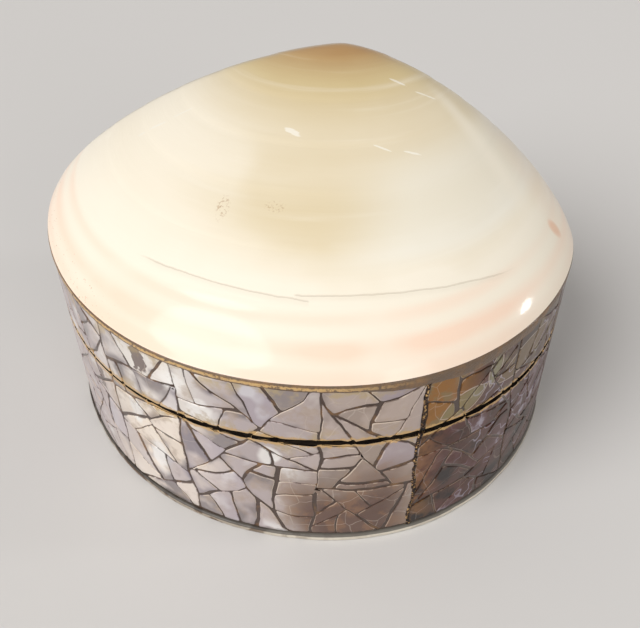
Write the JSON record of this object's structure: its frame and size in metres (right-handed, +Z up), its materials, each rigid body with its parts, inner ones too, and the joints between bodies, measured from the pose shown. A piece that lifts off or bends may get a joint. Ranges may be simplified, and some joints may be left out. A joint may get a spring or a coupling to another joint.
{
  "type": "shell jewelry box",
  "caption": "Lidded trinket box with a polished clam valve as its dome over a mother-of-pearl mosaic wall; the lid lifts off an inner lip.",
  "frame": {"origin": "middle of the box's plan, on the surface it stands on", "axes": "+Z up through the lid, +X along the shell's length to the viewer's right, +Y from the front to the shell's beak"},
  "size_m": [0.1108, 0.0964, 0.0707],
  "materials": {
    "base_pearl": "satin",
    "wall_resin": "satin",
    "pearl_mosaic": "gloss",
    "brown_resin": "gloss",
    "shell_ivory": "polished"
  },
  "bodies": {
    "root": {"base_plate": "base_pearl", "tray_wall": "wall_resin", "tray_mosaic": "pearl_mosaic", "lid_wall": "wall_resin", "lid_mosaic": "pearl_mosaic", "bedding_resin": "brown_resin", "shell_valve": "shell_ivory"}
  },
  "joints": []
}
